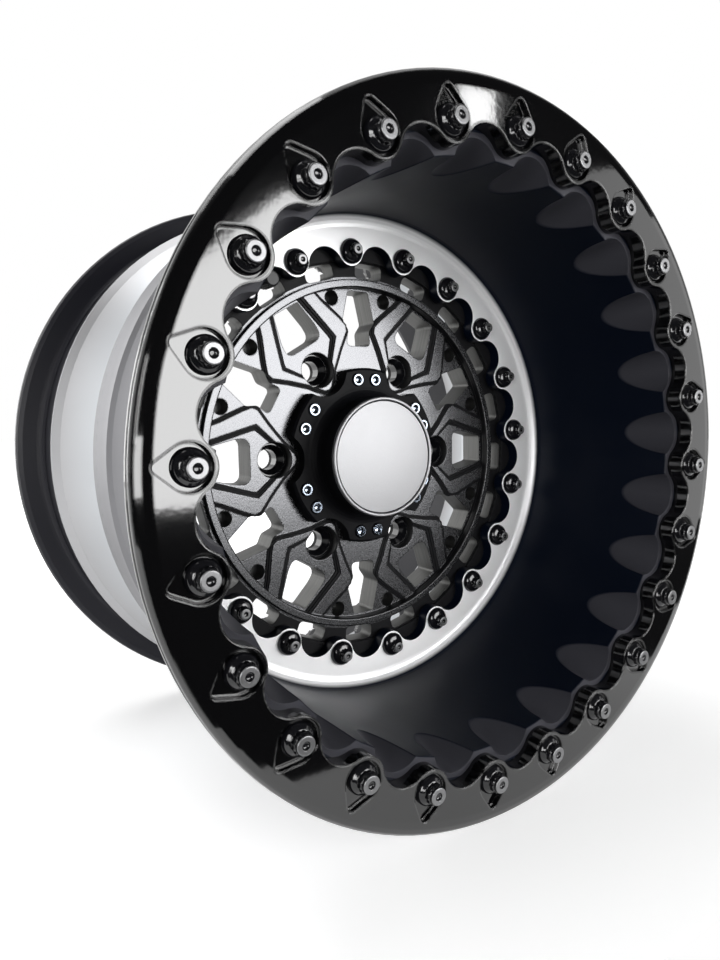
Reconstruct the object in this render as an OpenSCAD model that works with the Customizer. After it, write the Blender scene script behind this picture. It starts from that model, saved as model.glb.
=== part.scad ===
// Two-half beadlock wheel with a bolted forged centre, for a six-stud hub.
// Millimetres. The spin axis runs along Y and the outboard face looks to -Y.
// The origin is the centre of the hub pad, the flat face that seats on the hub.
// Inside the modules +z is outboard along the axle; stand() turns the wheel upright.

/* [Beadlock ring] */
// Outside diameter of the beadlock ring
ring_d = 410; // [406:1:414]
// Distance from the hub pad to the outer face of the ring
ring_face_z = 168.6; // [167:0.2:170]
// Distance from the hub pad to the land that the ring is bolted against
land_z = 158.2; // [157.6:0.2:158.6]
// Diameter of the ring's bolt circle
ring_pcd = 359.2; // [358:0.2:361]
// Radius of the boss that the ring keeps round each bolt
ring_boss_r = 11.8; // [11.4:0.1:12]
// Radius, from the axle, of the bottom of each scallop in the ring
ring_scallop_r = 179.2; // [178:0.2:180]
// Depth of the teardrop pocket under each bolt head
pocket_depth = 3; // [2:0.2:3.6]
// Radius of the round end of a teardrop pocket
pocket_r = 10.6; // [10:0.1:10.8]
// Radius of the outer tip of a teardrop pocket
pocket_tip_r = 3; // [2.4:0.2:3.4]
// Distance of that tip's centre from the axle
pocket_tip_at = 193.2; // [192:0.2:194]

/* [Outer barrel] */
// Bore of the outer barrel, the dish in front of the centre
barrel_bore_d = 330.4; // [329.6:0.2:331]
// Nominal bead seat diameter of a 15 inch rim
bead_seat_d = 379.8; // [379.4:0.1:380.2]
// Distance from the hub pad to the machined face of the inner flange
flange_face_z = 37.4; // [37:0.2:38]
// Thickness of that flange
flange_t = 9.2; // [8.8:0.2:9.4]
// Outside diameter of the flange joint between the two halves
joint_d = 365; // [363:1:367]
// Thickness of the dish wall
wall_t = 8.6; // [8:0.2:9]
// Radius of the cutter that leaves the flutes at the mouth
flute_r = 15.8; // [15:0.2:16]
// Depth to which each flute cuts into the bore at the mouth
flute_depth = 9.4; // [8.4:0.2:9.8]
// Length over which a flute runs out into the bore
flute_len = 31; // [28:1:36]

/* [Bolted joint] */
// Diameter of the circle of bolts that hold the halves and the centre together
joint_pcd = 281.8; // [281:0.2:282.4]
// Radius of the lobe that the flange keeps round each bolt
lobe_r = 9.6; // [9.2:0.1:9.8]
// Radius, from the axle, of the bottom of each hollow between the lobes
hollow_r = 145.7; // [145:0.1:146.2]
// Thickness of the centre's mounting ring inside the joint
mount_ring_t = 15; // [14.6:0.2:15.2]
// Thickness of the inner barrel's flange
inner_flange_t = 9.2; // [8.8:0.2:9.6]

/* [Inner barrel] */
// Outside diameter of the inboard rim flange
rear_flange_d = 416; // [414:1:418]
// Distance from the hub pad back to the inboard edge of the rim
rear_z = 137; // [135:1:139]
// Outside radius of the drop well
well_r = 168; // [167:0.5:169]
// Thickness of the inner barrel's wall
inner_wall_t = 6; // [5.4:0.2:6.4]

/* [Centre] */
// Diameter of the lug circle
lug_pcd = 139.7; // [139.2:0.1:140.2]
// Bore that clears the hub's spigot
hub_bore_d = 93.1; // [92.5:0.1:94]
// Diameter of the hub pad between the lobes that it keeps round the lug holes
pad_d = 151; // [149:1:152]
// Height of the machined spoke face above the hub pad
face_z = 22.6; // [22:0.2:23]
// Height of the crests above the spoke face
crest_h = 2.5; // [2.2:0.1:2.8]
// Height of the raised belt ring above the spoke face
belt_h = 7.2; // [6.6:0.2:7.6]
// Outside diameter of the belt ring
belt_d = 247.6; // [247:0.2:248]
// Width of the belt ring
belt_w = 5.4; // [5:0.2:5.8]
// Diameter of the counterbore round a lug hole
lug_bore_d = 24.6; // [24:0.2:25]
// Diameter of the pressed-in lug seat
seat_d = 22.6; // [22.2:0.2:22.8]
// Diameter of the hole through a lug seat
stud_hole_d = 14.2; // [14:0.1:14.6]

/* [Hub cap] */
// Diameter of the silver cap lid
lid_d = 82.8; // [82:0.2:83.4]
// Height of the lid's rim above the hub pad
lid_z = 53.4; // [52.6:0.2:54]
// Diameter over the lobes of the cap's flange
cap_flange_d = 125; // [124:0.5:126]
// Thickness of the cap's flange
cap_flange_t = 9; // [8.6:0.2:9.4]
// Diameter of the cap's screw circle
cap_pcd = 109; // [108.6:0.2:109.4]
// Angle between the two screws of a lobe
cap_pair = 15.5; // [15:0.5:16]

/* [Fasteners] */
// Thread diameter of the beadlock and joint bolts
bolt_d = 9.8; // [9.5:0.1:10]
// Diameter of the round flange under a bolt head
bolt_flange_d = 17; // [16.6:0.2:17.2]
// Height of a bolt head over its seat
bolt_head_h = 9.6; // [9:0.2:10]
// Length of a beadlock bolt under the head
ring_bolt_len = 30; // [28:1:31]
// Thread diameter of the cap screws
screw_d = 4.8; // [4.6:0.1:5]
// Head diameter of the cap screws
screw_head_d = 8.8; // [8.4:0.1:9]

/* [Valve] */
// Distance of the valve's straight end from the axle
valve_r = 138.8; // [138.4:0.2:139.2]
// Diameter of the valve stem
valve_d = 8; // [7.8:0.1:8.2]
// Bend radius of the valve stem
valve_bend = 12; // [11.5:0.5:12.5]
// Height of the valve cap's end above the hub pad
valve_tip_z = 40; // [38:0.5:41]

/* [Hidden] */
$fn = 96;

// Running clearance of a bolt in its hole, and of a part in its register
bolt_gap = 0.4;
press_gap = 0.1;
register_gap = 0.3;
eps = 0.01;
// Bite of a scallop's cutter into the bosses beside it, so that the two circles cross
wave_bite = 0.05;

// Distances from the joint's bolt circle: out to the rim of the mounting ring,
// in to the outer ends of its windows, and in to the back of the spokes' pillars
mount_ring_edge = 16.1;
window_edge = 4.5;
pillar_edge = 10.3;

// Clocking: a lug hole at 3 o'clock, both bolt circles started from one drilled angle
ring_n = 24;
joint_n = 20;
lug_n = 6;
ring_turn = 12;
joint_turn = 6;
lobe_turn = 30;

ring_r = ring_d / 2;
ring_bolt_at = ring_pcd / 2;
joint_at = joint_pcd / 2;
lug_at = lug_pcd / 2;
cap_screw_at = cap_pcd / 2;
bore_r = barrel_bore_d / 2;
seat_r = bead_seat_d / 2;
joint_r = joint_d / 2;
wall_r = bore_r + wall_t;
flange_back_z = flange_face_z - flange_t;
mount_back_z = flange_back_z - mount_ring_t;
inner_back_z = mount_back_z - inner_flange_t;
mount_ring_r = joint_at + mount_ring_edge;
window_out_r = joint_at - window_edge;
pillar_back_r = joint_at - pillar_edge;
spoke_back_z = 3.4;
pad_lobe_r = 13;
pad_lobe_at = lug_pcd / 2 + pad_lobe_r + 0.6;
hub_bore_r = hub_bore_d / 2;
belt_r = belt_d / 2;
belt_in_r = belt_r - belt_w;
crest_z = face_z + crest_h;
belt_z = face_z + belt_h;
pillar_z = flange_back_z - 2.2;
cap_top_z = lid_z - 2.9;
cap_flange_z = face_z + cap_flange_t;
cap_ledge_z = cap_top_z - 5.4;
cap_seal_r = 1.2;
lug_shelf_z = face_z - 5.8;
seat_len = 13;
bolt_r = bolt_d / 2;
bolt_hole_r = bolt_r + bolt_gap / 2;
pocket_z = ring_face_z - pocket_depth;
valve_turn = joint_turn + 6.5 * 360 / joint_n;
valve_port_z = -14;
well_in_r = well_r - inner_wall_t;

// Scallop circle that meets each boss tangentially, so the edge is one smooth wave.
// p bolt circle radius, b boss radius, e radius of the scallop's bottom, n count
function scallop_at(p, b, e, n) =
    (pow(b + e, 2) - p * p) / (2 * (b + e - p * cos(180 / n)));
// Radius at which boss and scallop touch
function wave_r(p, b, e, n) = let(c = scallop_at(p, b, e, n), s = b / (b + e - c),
    q = [p + (c * cos(180 / n) - p) * s, c * sin(180 / n) * s]) norm(q);

// Corner of a polygon replaced by an arc of radius r
function turn_to(a) = a > 180 ? a - 360 : a < -180 ? a + 360 : a;
function corner(a, b, c, r, n) = r <= 0 ? [b] :
    let(u = (a - b) / norm(a - b), v = (c - b) / norm(c - b),
        half = acos(u * v) / 2, m = (u + v) / norm(u + v), o = b + m * r / sin(half),
        t = r / tan(half), p = b + u * t, q = b + v * t,
        a0 = atan2(p[1] - o[1], p[0] - o[0]),
        da = turn_to(atan2(q[1] - o[1], q[0] - o[0]) - a0))
    [for (i = [0:n]) o + r * [cos(a0 + da * i / n), sin(a0 + da * i / n)]];
function rounded(pts, rad, n = 4) = let(k = len(pts))
    [for (i = [0:k - 1]) each corner(pts[(i + k - 1) % k], pts[i], pts[(i + 1) % k], rad[i], n)];
// Outline closed by its own mirror image in the line x = 0
function both(half) = concat(half, [for (i = [len(half) - 1:-1:0]) [-half[i][0], half[i][1]]]);
// Arc of radius r about c from angle a to angle b
function arc(c, r, a, b, n = 6) = [for (i = [0:n]) c + r * [cos(a + (b - a) * i / n),
    sin(a + (b - a) * i / n)]];

module stand() { rotate([90, 0, 0]) children(); }
module around(n, turn = 0) { for (i = [0:n - 1]) rotate(turn + i * 360 / n) children(); }
module out_at(r) { translate([r, 0, 0]) children(); }
module disc(r, z0, z1) { translate([0, 0, z0]) cylinder(r = r, h = z1 - z0); }
module hole(r, z0, z1) { disc(r, z0 - eps, z1 + eps); }
// All that a wave-edged ring loses inside radius w: the bosses of radius b stay whole,
// and a scallop of radius s, on the circle c, is taken out between each two
module wave_cut(p, b, w, c, s, n, turn, z0, z1) {
    difference() {
        hole(w, z0, z1);
        disc(p - b - 4, z0 - 1, z1 + 1);
        around(n, turn) out_at(p) disc(b, z0 - 1, z1 + 1);
    }
    around(n, turn + 180 / n) out_at(c) hole(s, z0, z1);
}
module slab(pts, z0, z1) { translate([0, 0, z0]) linear_extrude(z1 - z0) polygon(pts); }

// Round-ended drop outline, its tip pointing away from the axle
module teardrop(z0, z1) {
    a = acos((pocket_r - pocket_tip_r) / (pocket_tip_at - ring_bolt_at - 1));
    out_at(ring_bolt_at + 1) disc(pocket_r, z0, z1);
    out_at(pocket_tip_at) disc(pocket_tip_r, z0, z1);
    slab([for (s = [-1, 1]) each [for (k = s < 0 ? [0, 1] : [1, 0])
        (k == 0 ? [ring_bolt_at + 1, 0] : [pocket_tip_at, 0])
        + (k == 0 ? pocket_r : pocket_tip_r) * [cos(a), s * sin(a)]]], z0, z1);
}

// Twelve-point flange bolt, seat at z = 0, shank down the -z axis
module flange_bolt(len) {
    point_r = bolt_flange_d * 0.36;
    nose_r = point_r - 1.4;
    difference() {
        union() {
            rotate_extrude() polygon([[0, 0], [bolt_flange_d / 2, 0], [bolt_flange_d / 2, 1.3],
                [bolt_flange_d / 2 - 0.5, 1.9], [bolt_flange_d / 2 - 1.7, 2.6],
                [point_r - 0.6, 3.1], [0, 3.1]]);
            for (k = [0:1]) rotate(30 * k) translate([0, 0, 2.4])
                cylinder(r = point_r, h = bolt_head_h - 3.4, $fn = 6);
            disc(nose_r, bolt_head_h - 1.2, bolt_head_h);
            disc(bolt_r, -len, 1);
        }
        hole(2.3, bolt_head_h - 1.6, bolt_head_h + 1);
    }
}

module beadlock_ring() {
    w = wave_r(ring_bolt_at, ring_boss_r, ring_scallop_r, ring_n);
    c = scallop_at(ring_bolt_at, ring_boss_r, ring_scallop_r, ring_n);
    tip_r = ring_bolt_at - ring_boss_r - 1;
    color("#0c0c0e") stand() difference() {
        rotate_extrude() polygon([[tip_r, land_z], [ring_r - 2.4, land_z],
            [ring_r - 0.4, land_z + 1], [ring_r, land_z + 2], [ring_r, land_z + 4.2],
            [ring_r - 0.9, land_z + 4.6], [ring_r - 0.9, land_z + 5.4],
            [ring_r - 0.2, land_z + 5.8], [ring_r - 0.6, land_z + 7.4],
            [ring_r - 2.2, ring_face_z - 1.3], [ring_r - 5, ring_face_z - 0.4],
            [ring_r - 9, ring_face_z], [tip_r, ring_face_z]]);
        wave_cut(ring_bolt_at, ring_boss_r, w, c, ring_scallop_r - c + wave_bite, ring_n,
            ring_turn, land_z, ring_face_z);
        around(ring_n, ring_turn) {
            teardrop(pocket_z, ring_face_z + 1);
            out_at(ring_bolt_at) hole(bolt_hole_r, land_z, ring_face_z);
        }
    }
}

module beadlock_bolts() {
    color("#1a1a1c") stand() around(ring_n, ring_turn) translate([ring_bolt_at, 0, pocket_z])
        flange_bolt(ring_bolt_len);
}

// Outer half: dish wall, front land with its bead seat, and the scalloped inner flange
module outer_barrel() {
    w = wave_r(joint_at, lobe_r, hollow_r, joint_n);
    c = scallop_at(joint_at, lobe_r, hollow_r, joint_n);
    tip_r = joint_at - lobe_r - 1;
    register_r = mount_ring_r + register_gap;
    bend = 8;
    tilt = atan(flute_depth / flute_len);
    color("#8d9094") stand() difference() {
        rotate_extrude() polygon(concat([[tip_r, flange_face_z]],
            arc([bore_r - bend, flange_face_z + bend], bend, -90, 0),
            [[bore_r, land_z - 0.6], [bore_r + 0.6, land_z], [seat_r - 1, land_z],
            [seat_r, land_z - 1], [seat_r - 2.2, land_z - 26], [seat_r + 1.2, land_z - 30],
            [seat_r + 1.2, land_z - 33]],
            arc([wall_r + 9, land_z - 49], 9, 90, 180, 4),
            [[wall_r, flange_face_z + 18], [joint_r - 2.5, flange_face_z + 3],
            [joint_r, flange_face_z], [joint_r, mount_back_z],
            [register_r, mount_back_z], [register_r, flange_back_z], [tip_r, flange_back_z]]));
        wave_cut(joint_at, lobe_r, w, c, hollow_r - c + wave_bite, joint_n, joint_turn,
            flange_back_z, flange_face_z);
        around(joint_n, joint_turn) out_at(joint_at)
            hole(bolt_hole_r, flange_back_z, flange_face_z);
        around(ring_n, ring_turn) out_at(ring_bolt_at)
            hole(bolt_hole_r, pocket_z - ring_bolt_len - 2, land_z);
        around(ring_n, ring_turn + 180 / ring_n)
            translate([bore_r + flute_depth - flute_r, 0, land_z])
            rotate([0, tilt, 0]) translate([0, 0, -flute_len * 1.4])
            cylinder(r = flute_r, h = flute_len * 1.8);
    }
}

// Inner half: flange behind the centre, drop well, bead seat and inboard rim flange
module inner_barrel() {
    w = wave_r(joint_at, lobe_r, hollow_r, joint_n);
    c = scallop_at(joint_at, lobe_r, hollow_r, joint_n);
    t = inner_wall_t;
    tip_r = joint_at - lobe_r - 1;
    rim_r = rear_flange_d / 2;
    color("#9a9da1") stand() difference() {
        rotate_extrude() polygon(concat([[tip_r, mount_back_z], [joint_r, mount_back_z],
            [joint_r, inner_back_z + 1.5], [joint_r - 2, inner_back_z]],
            arc([well_r + 8, inner_back_z - 9], 8, 110, 180, 4),
            [[well_r, 91 - rear_z], [seat_r - 4, 58 - rear_z], [seat_r + 1.2, 53 - rear_z],
            [seat_r + 1.2, 49 - rear_z], [seat_r - 2.2, 46 - rear_z], [seat_r - 0.2, 14 - rear_z]],
            arc([seat_r + 4.8, 19 - rear_z], 5, 180, 270, 4),
            [[rim_r - 4, 13 - rear_z], [rim_r - 1, 11.6 - rear_z], [rim_r, 9 - rear_z],
            [rim_r, 4 - rear_z], [rim_r - 1.2, 1.4 - rear_z], [rim_r - 4, -rear_z],
            [rim_r - 9, -rear_z], [seat_r + 2, 4 - rear_z], [seat_r - 5, 9 - rear_z],
            [seat_r - t - 2, 17 - rear_z], [seat_r - t - 2, 51 - rear_z],
            [well_r - t + 1, 87 - rear_z], [well_in_r, 91 - rear_z], [well_in_r, inner_back_z - 6],
            [well_in_r - 6, inner_back_z], [tip_r, inner_back_z]]));
        wave_cut(joint_at, lobe_r, w, c, hollow_r - c + wave_bite, joint_n, joint_turn,
            inner_back_z, mount_back_z);
        around(joint_n, joint_turn) out_at(joint_at)
            hole(bolt_hole_r, inner_back_z, mount_back_z);
        rotate_extrude() translate([seal_at, mount_back_z - seal_depth / 2 + 1])
            square([seal_wide, seal_depth + 2], center = true);
        rotate(valve_turn) translate([0, 0, valve_port_z]) rotate([0, 90, 0])
            hole(valve_port_r, well_in_r - 2, well_r + 4);
    }
}

// O-ring groove in the inner barrel's flange
seal_at = 170;
seal_r = 1.5;
seal_depth = 2 * seal_r;
seal_wide = 4;
valve_port_r = 5.8;

module barrel_seal() {
    color("#141414") stand() translate([0, 0, mount_back_z - seal_r]) rotate_extrude()
        translate([seal_at, 0]) circle(r = seal_r - 0.02, $fn = 24);
}

// Crest outline at its foot (t = 1) and along its machined top (t = 0); the foot
// stands out past the top by the width of the painted step on both sides
crest_top_out = [[-23, 118.6], [-26, 108.9], [-33, 92.7], [-35.2, 86.1], [-33.7, 82.3],
    [-23, 74.4], [-11.2, 64.4], [-6.4, 59], [-3, 55.4], [0, 54.4]];
crest_foot_out = [[-25.4, 118.4], [-28.5, 110.1], [-35.5, 93.7], [-38, 86.1], [-36, 80.6],
    [-24.6, 72.2], [-12.9, 62.3], [-8.4, 57], [-3.9, 53], [0, 52.1]];
crest_top_in = [[0, 69.8], [-11.6, 68.7], [-24.6, 83.2], [-23.7, 86.9], [-14.6, 118.6]];
crest_foot_in = [[0, 69.8], [-9.4, 69.6], [-20.5, 83.2], [-20.1, 86.1], [-10.6, 118.6]];
function blend(a, b, t) = [for (i = [0:len(a) - 1]) a[i] * (1 - t) + b[i] * t];
function crest(t) = let(o = blend(crest_top_out, crest_foot_out, t),
    i = blend(crest_top_in, crest_foot_in, t)) concat(o, i);
function flip(pts) = [for (p = pts) [-p[0], p[1]]];

module crests() {
    for (s = [0, 1]) mirror([s, 0, 0]) {
        slab(crest(1), face_z - 2, face_z + crest_h * 0.34);
        slab(crest(0.5), face_z - 2, face_z + crest_h * 0.68);
        slab(crest(0), face_z - 2, crest_z);
    }
}

// Window outboard of a lug hole, narrower towards the belt ring
lug_window = rounded(both([[-15.6, 87.4], [-14.8, 98], [-10.4, 116.4]]), [5.4, 20, 2, 2, 20, 5.4]);
// Window between two crests: square foot, waist at the elbows, wide shoulder, narrow end
fork_window = rounded(both([[-10, 78.4], [-8.8, 89], [-13.4, 95.4], [-8.4, 116.8]]),
    [3, 5, 3, 2, 2, 3, 5, 3]);
// Windows of the outer rim, one between each two joint bolts
rim_window_half = 11.2;

module forged_centre() {
    color("#6f7276") stand() difference() {
        union() {
            rotate_extrude() polygon([[hub_bore_r, 0], [pad_lobe_at, 0],
                [pad_lobe_at, spoke_back_z], [116, spoke_back_z], [124, spoke_back_z + 3.6],
                [pillar_back_r, spoke_back_z + 5.6], [pillar_back_r, mount_back_z], [mount_ring_r, mount_back_z],
                [mount_ring_r, flange_back_z], [window_out_r, flange_back_z],
                [window_out_r, pillar_z], [belt_r, pillar_z], [belt_r, belt_z - 0.5],
                [belt_r - 0.5, belt_z], [belt_in_r + 0.8, belt_z], [belt_in_r, belt_z - 0.8],
                [belt_in_r, face_z], [hub_bore_r, face_z]]);
            around(lug_n, -90) crests();
        }
        difference() {
            disc(pad_lobe_at + 1, -1, spoke_back_z - 0.2);
            disc(pad_d / 2, -2, spoke_back_z);
            around(lug_n) out_at(lug_at) disc(pad_lobe_r, -2, spoke_back_z);
        }
        around(lug_n, -90) slab(lug_window, -1, face_z + 6);
        around(lug_n, -90 + 180 / lug_n) slab(fork_window, -1, face_z + 1);
        around(lug_n, -90) for (s = [-1, 1]) translate([s * 36.3, 107])
            disc(5.3, face_z - 12, face_z + 5);
        around(joint_n, joint_turn + 180 / joint_n) rotate(-90)
            slab(rounded(both([[-rim_window_half, belt_r + 1.2], [-rim_window_half, window_out_r - 1]]),
            [3, 3.6, 3.6, 3]), -1, flange_back_z + 1);
        around(joint_n, joint_turn) out_at(joint_at)
            hole(bolt_hole_r, mount_back_z, flange_back_z);
        around(lug_n) out_at(lug_at) {
            disc(lug_bore_d / 2, lug_shelf_z, belt_z + 5);
            disc(seat_d / 2, lug_shelf_z - seat_len, lug_shelf_z + 1);
            hole(stud_hole_d / 2, 0, lug_shelf_z);
        }
        around(lug_n, lobe_turn) for (s = [-1, 1]) rotate(s * cap_pair / 2) out_at(cap_screw_at)
            disc(screw_d / 2 + press_gap, face_z - 13, face_z + 1);
        around(lug_n, lobe_turn) out_at(61.2) disc(7.5, -1, 8);
        rotate(valve_turn) out_at(valve_r) hole(valve_d / 2 + 2.6, mount_back_z - 12, flange_back_z);
    }
}

module joint_bolts() {
    color("#1a1a1c") stand() around(joint_n, joint_turn)
        translate([joint_at, 0, flange_face_z]) flange_bolt(flange_face_z - inner_back_z + 9);
}

module joint_nuts() {
    color("#1a1a1c") stand() around(joint_n, joint_turn)
        translate([joint_at, 0, inner_back_z]) mirror([0, 0, 1]) difference() {
            union() {
                rotate_extrude() polygon([[0, 0], [bolt_flange_d / 2, 0], [bolt_flange_d / 2, 1.2],
                    [bolt_flange_d / 2 - 1.8, 2.2], [0, 2.8]]);
                for (k = [0:1]) rotate(30 * k) cylinder(r = 7.4, h = 7.6, $fn = 6);
            }
            hole(bolt_r + press_gap, 0, 8);
        }
}

// Steel seat pressed into each lug hole, coned for a 60 degree lug nut
module lug_seats() {
    color("#17181a") stand() around(lug_n) out_at(lug_at) difference() {
        disc(seat_d / 2 - press_gap, lug_shelf_z - seat_len, lug_shelf_z);
        hole(stud_hole_d / 2, lug_shelf_z - seat_len, lug_shelf_z);
        translate([0, 0, lug_shelf_z - 5.6]) cylinder(r1 = stud_hole_d / 2,
            r2 = stud_hole_d / 2 + 5.7 * tan(30), h = 5.7);
    }
}

module cap_body() {
    top_r = lid_d / 2 - 0.2;
    plug_r = lid_d / 2 - 3.4;
    color("#0a0a0b") stand() difference() {
        rotate_extrude() polygon(concat([[plug_r - 3, face_z], [cap_flange_d / 2, face_z],
            [cap_flange_d / 2, cap_flange_z - 1.6], [cap_flange_d / 2 - 1.6, cap_flange_z],
            [top_r + 7.5, cap_flange_z]],
            arc([top_r + 7.5, cap_flange_z + 7], 7, -90, -170, 5),
            [[top_r, cap_top_z - 1], [top_r - 1, cap_top_z], [plug_r, cap_top_z],
            [plug_r, cap_ledge_z], [plug_r - 3, cap_ledge_z]]));
        around(lug_n) out_at(lug_at) hole(18.4, face_z, cap_top_z);
        around(lug_n, lobe_turn) for (s = [-1, 1]) rotate(s * cap_pair / 2) out_at(cap_screw_at) {
            hole(screw_d / 2 + press_gap, face_z, cap_flange_z);
            disc(screw_head_d / 2 + 0.3, cap_flange_z - 3.4, cap_flange_z + 9);
        }
    }
}

// Domed lid with a raised rim and a fine groove, pressed into the cap body
module cap_lid() {
    r = lid_d / 2;
    dome_r = r - 2.9;
    sphere_r = 420;
    color("#c3c6ca") stand() rotate_extrude() polygon(concat([[0, cap_top_z],
        [0, cap_top_z - 3], [r - 3.4 - press_gap - 1, cap_top_z - 3]],
        [[r - 3.4 - press_gap, cap_top_z - 2]],
        [[r - 3.4 - press_gap, cap_top_z], [r, cap_top_z], [r, lid_z - 0.6], [r - 0.6, lid_z],
        [r - 1.6, lid_z], [r - 2.1, lid_z - 0.5], [r - 2.1, lid_z - 1.6],
        [dome_r, lid_z - 1.6], [dome_r, lid_z - 0.9]],
        [for (i = [1:8]) let(x = dome_r * (1 - i / 8)) [x, lid_z - 0.9 + sqrt(sphere_r * sphere_r
            - x * x) - sqrt(sphere_r * sphere_r - dome_r * dome_r)]]));
}

module cap_lid_seal() {
    color("#141414") stand() translate([0, 0, cap_ledge_z + cap_seal_r]) rotate_extrude()
        translate([lid_d / 2 - 3.5 - cap_seal_r, 0]) circle(r = cap_seal_r - 0.02, $fn = 24);
}

module cap_screws() {
    h = screw_d;
    color("#b9bdc2") stand() around(lug_n, lobe_turn) for (s = [-1, 1]) rotate(s * cap_pair / 2)
        translate([cap_screw_at, 0, cap_flange_z - 3.4]) difference() {
            union() {
                rotate_extrude() polygon([[0, 0], [screw_head_d / 2, 0],
                    [screw_head_d / 2, h - 0.5], [screw_head_d / 2 - 0.5, h], [0, h]]);
                disc(screw_d / 2, -16, 1);
            }
            translate([0, 0, h - 2.6]) cylinder(r = 2.3, h = 3, $fn = 6);
        }
}

// Bent stem: base inside the tyre chamber, neck through the well, tip facing outboard
module at_valve() { rotate(valve_turn) translate([0, 0, valve_port_z]) children(); }
module on_port(r) { translate([r, 0, 0]) rotate([0, 90, 0]) children(); }

module valve_stem() {
    r = valve_d / 2;
    straight = valve_tip_z - 9 - valve_port_z - valve_bend;
    color("#232426") stand() at_valve() difference() {
        union() {
            on_port(valve_r + valve_bend) disc(r, -0.01, well_r + 3.6 - valve_r - valve_bend);
            on_port(well_r + 3.2) disc(8.4, 0, 2.6);
            translate([valve_r + valve_bend, 0, valve_bend]) rotate([90, 0, 0]) rotate(180)
                rotate_extrude(angle = 90) translate([valve_bend, 0]) circle(r = r);
            translate([valve_r, 0, valve_bend]) disc(r, -0.01, straight);
        }
        translate([valve_r, 0, valve_bend]) disc(2.1, straight - 16, straight + 1);
    }
}

module valve_grommet() {
    color("#161616") stand() at_valve() difference() {
        union() {
            on_port(well_r) disc(8, 0.2, 3.2);
            on_port(well_in_r) disc(valve_port_r - press_gap, 0, inner_wall_t + 1);
        }
        on_port(well_in_r) hole(valve_d / 2 + 0.05, -1, inner_wall_t + 6);
    }
}

module valve_washer() {
    color("#8b8d90") stand() at_valve() on_port(well_in_r - 1.6) difference() {
        disc(8, 0, 1.4);
        hole(valve_d / 2 + 0.1, 0, 1.4);
    }
}

module valve_nut() {
    color("#8b8d90") stand() at_valve() on_port(well_in_r - 5.6) difference() {
        cylinder(r = 6.9, h = 4, $fn = 6);
        hole(valve_d / 2 + 0.05, 0, 4);
    }
}

module valve_core() {
    straight = valve_tip_z - 9 - valve_port_z - valve_bend;
    color("#a48a4a") stand() at_valve() translate([valve_r, 0, valve_bend + straight]) {
        disc(2, -14, -1.5);
        disc(0.8, -2, -0.3);
    }
}

module valve_cap() {
    color("#111112") stand() at_valve() translate([valve_r, 0, valve_tip_z - valve_port_z])
        difference() {
            union() {
                rotate_extrude() polygon([[0, -14], [5, -14], [5, -1], [4, 0], [0, 0]]);
                around(18) out_at(5) disc(0.35, -13, -2);
            }
            hole(valve_d / 2 + 0.1, -14, -2.5);
        }
}

module valve_cap_seal() {
    color("#141414") stand() at_valve() translate([valve_r, 0, valve_tip_z - valve_port_z - 4.2])
        difference() {
            disc(valve_d / 2, -4, 1.6);
            hole(2.4, -5, 0);
        }
}

beadlock_ring();
beadlock_bolts();
outer_barrel();
inner_barrel();
barrel_seal();
forged_centre();
joint_bolts();
joint_nuts();
lug_seats();
cap_body();
cap_lid();
cap_lid_seal();
cap_screws();
valve_stem();
valve_grommet();
valve_washer();
valve_nut();
valve_core();
valve_cap();
valve_cap_seal();
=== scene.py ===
"""Finishes, fastener detail, light and camera for a two-half beadlock wheel."""

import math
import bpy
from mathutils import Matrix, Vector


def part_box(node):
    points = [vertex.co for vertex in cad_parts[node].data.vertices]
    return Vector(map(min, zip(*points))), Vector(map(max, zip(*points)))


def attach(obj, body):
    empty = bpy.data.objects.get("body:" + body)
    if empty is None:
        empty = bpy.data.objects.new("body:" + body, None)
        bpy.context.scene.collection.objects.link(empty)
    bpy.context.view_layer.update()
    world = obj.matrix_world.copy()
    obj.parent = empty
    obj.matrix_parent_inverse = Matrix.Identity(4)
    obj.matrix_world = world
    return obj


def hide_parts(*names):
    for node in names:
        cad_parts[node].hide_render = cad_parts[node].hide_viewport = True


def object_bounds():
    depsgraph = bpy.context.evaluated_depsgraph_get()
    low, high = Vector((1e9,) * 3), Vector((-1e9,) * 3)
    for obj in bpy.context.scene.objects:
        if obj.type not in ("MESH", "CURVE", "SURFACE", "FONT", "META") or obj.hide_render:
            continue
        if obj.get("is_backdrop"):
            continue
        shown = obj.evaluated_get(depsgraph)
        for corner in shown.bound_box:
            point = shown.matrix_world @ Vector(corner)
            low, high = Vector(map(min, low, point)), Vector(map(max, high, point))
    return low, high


bl_info = {
    "name": "Beadlock Wheel Finish",
    "version": (1, 0, 0),
    "blender": (4, 5, 0),
    "location": "3D View > Sidebar > Wheel",
    "description": "Finishes, detailed fasteners, light and camera for a beadlock wheel",
    "category": "Object",
}

import bmesh
import bpy
from mathutils import Matrix, Vector

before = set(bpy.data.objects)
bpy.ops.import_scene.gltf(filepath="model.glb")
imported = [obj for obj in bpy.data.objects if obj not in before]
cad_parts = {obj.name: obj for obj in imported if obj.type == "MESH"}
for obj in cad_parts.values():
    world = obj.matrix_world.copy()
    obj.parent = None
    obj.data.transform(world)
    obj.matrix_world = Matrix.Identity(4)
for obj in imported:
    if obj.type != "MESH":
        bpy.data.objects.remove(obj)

# Outboard heights (minus world Y) of the wheel's levels, all from the ring's outer face
RING_FACE = -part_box("beadlock_ring")[0].y
POCKET_FLOOR = RING_FACE - 0.003
FLANGE_FACE = RING_FACE - 0.1312
SCREW_SEAT = RING_FACE - 0.1404
SPOKE_FACE = RING_FACE - 0.1460
CREST_TOP = SPOKE_FACE + 0.0025
BELT_TOP = SPOKE_FACE + 0.0072
INNER_BACK = RING_FACE - 0.1646

# Radii of the circles that the fasteners stand on
RING_BOLT_AT = 0.1796
JOINT_AT = 0.1409
LUG_AT = 0.06985
SCREW_AT = 0.0545

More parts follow.
